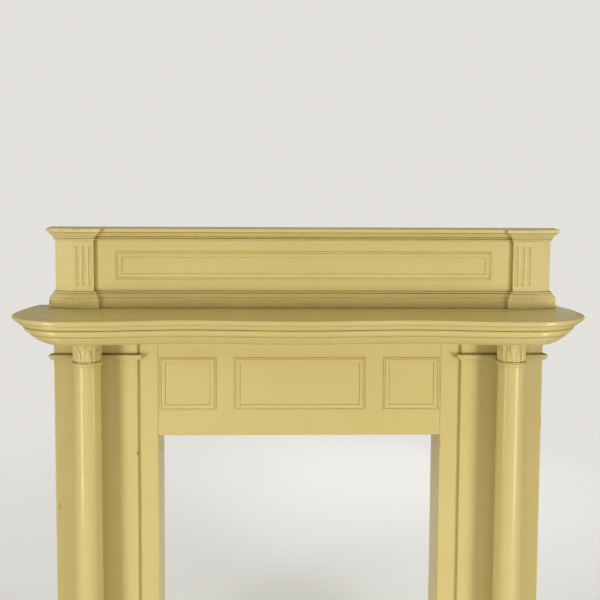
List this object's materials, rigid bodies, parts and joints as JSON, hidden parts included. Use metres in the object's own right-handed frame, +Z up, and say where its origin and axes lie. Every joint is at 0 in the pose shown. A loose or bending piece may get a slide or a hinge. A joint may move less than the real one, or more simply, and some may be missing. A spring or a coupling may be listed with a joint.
{
  "type": "fireplace mantelpiece",
  "caption": "Painted wooden fireplace mantelpiece with a serpentine shelf on free columns, flat pilasters, a panelled frieze and a low overmantel with fluted end blocks.",
  "frame": {"origin": "on the floor, under the middle of the shelf's width and depth", "axes": "+Z up, +X to the right of someone facing the front, +Y from the front to the wall"},
  "size_m": [1.736, 0.3, 1.551],
  "materials": {
    "ochre_paint": "semi-gloss yellow-ochre enamel paint over wood, brushed, with small chips and handling wear"
  },
  "bodies": {
    "root": {"shelf_board": "ochre_paint", "bed_moulding": "ochre_paint", "bed_return_left": "ochre_paint", "bed_return_right": "ochre_paint", "frieze_board": "ochre_paint", "opening_soffit": "ochre_paint", "frieze_panel_left": "ochre_paint", "frieze_panel_centre": "ochre_paint", "frieze_panel_right": "ochre_paint", "leg_board_left": "ochre_paint", "leg_board_right": "ochre_paint", "opening_return_left": "ochre_paint", "opening_return_right": "ochre_paint", "outer_return_left": "ochre_paint", "outer_return_right": "ochre_paint", "pilaster_left": "ochre_paint", "pilaster_right": "ochre_paint", "astragal_left_inner": "ochre_paint", "astragal_left_outer": "ochre_paint", "astragal_right_inner": "ochre_paint", "astragal_right_outer": "ochre_paint", "column_left": "ochre_paint", "column_right": "ochre_paint", "capital_left": "ochre_paint", "capital_right": "ochre_paint", "plinth_left": "ochre_paint", "plinth_right": "ochre_paint", "overmantel_board": "ochre_paint", "overmantel_panel_moulding": "ochre_paint", "end_block_left": "ochre_paint", "end_block_right": "ochre_paint", "overmantel_base": "ochre_paint", "overmantel_crown": "ochre_paint", "overmantel_cap": "ochre_paint"}
  },
  "joints": []
}
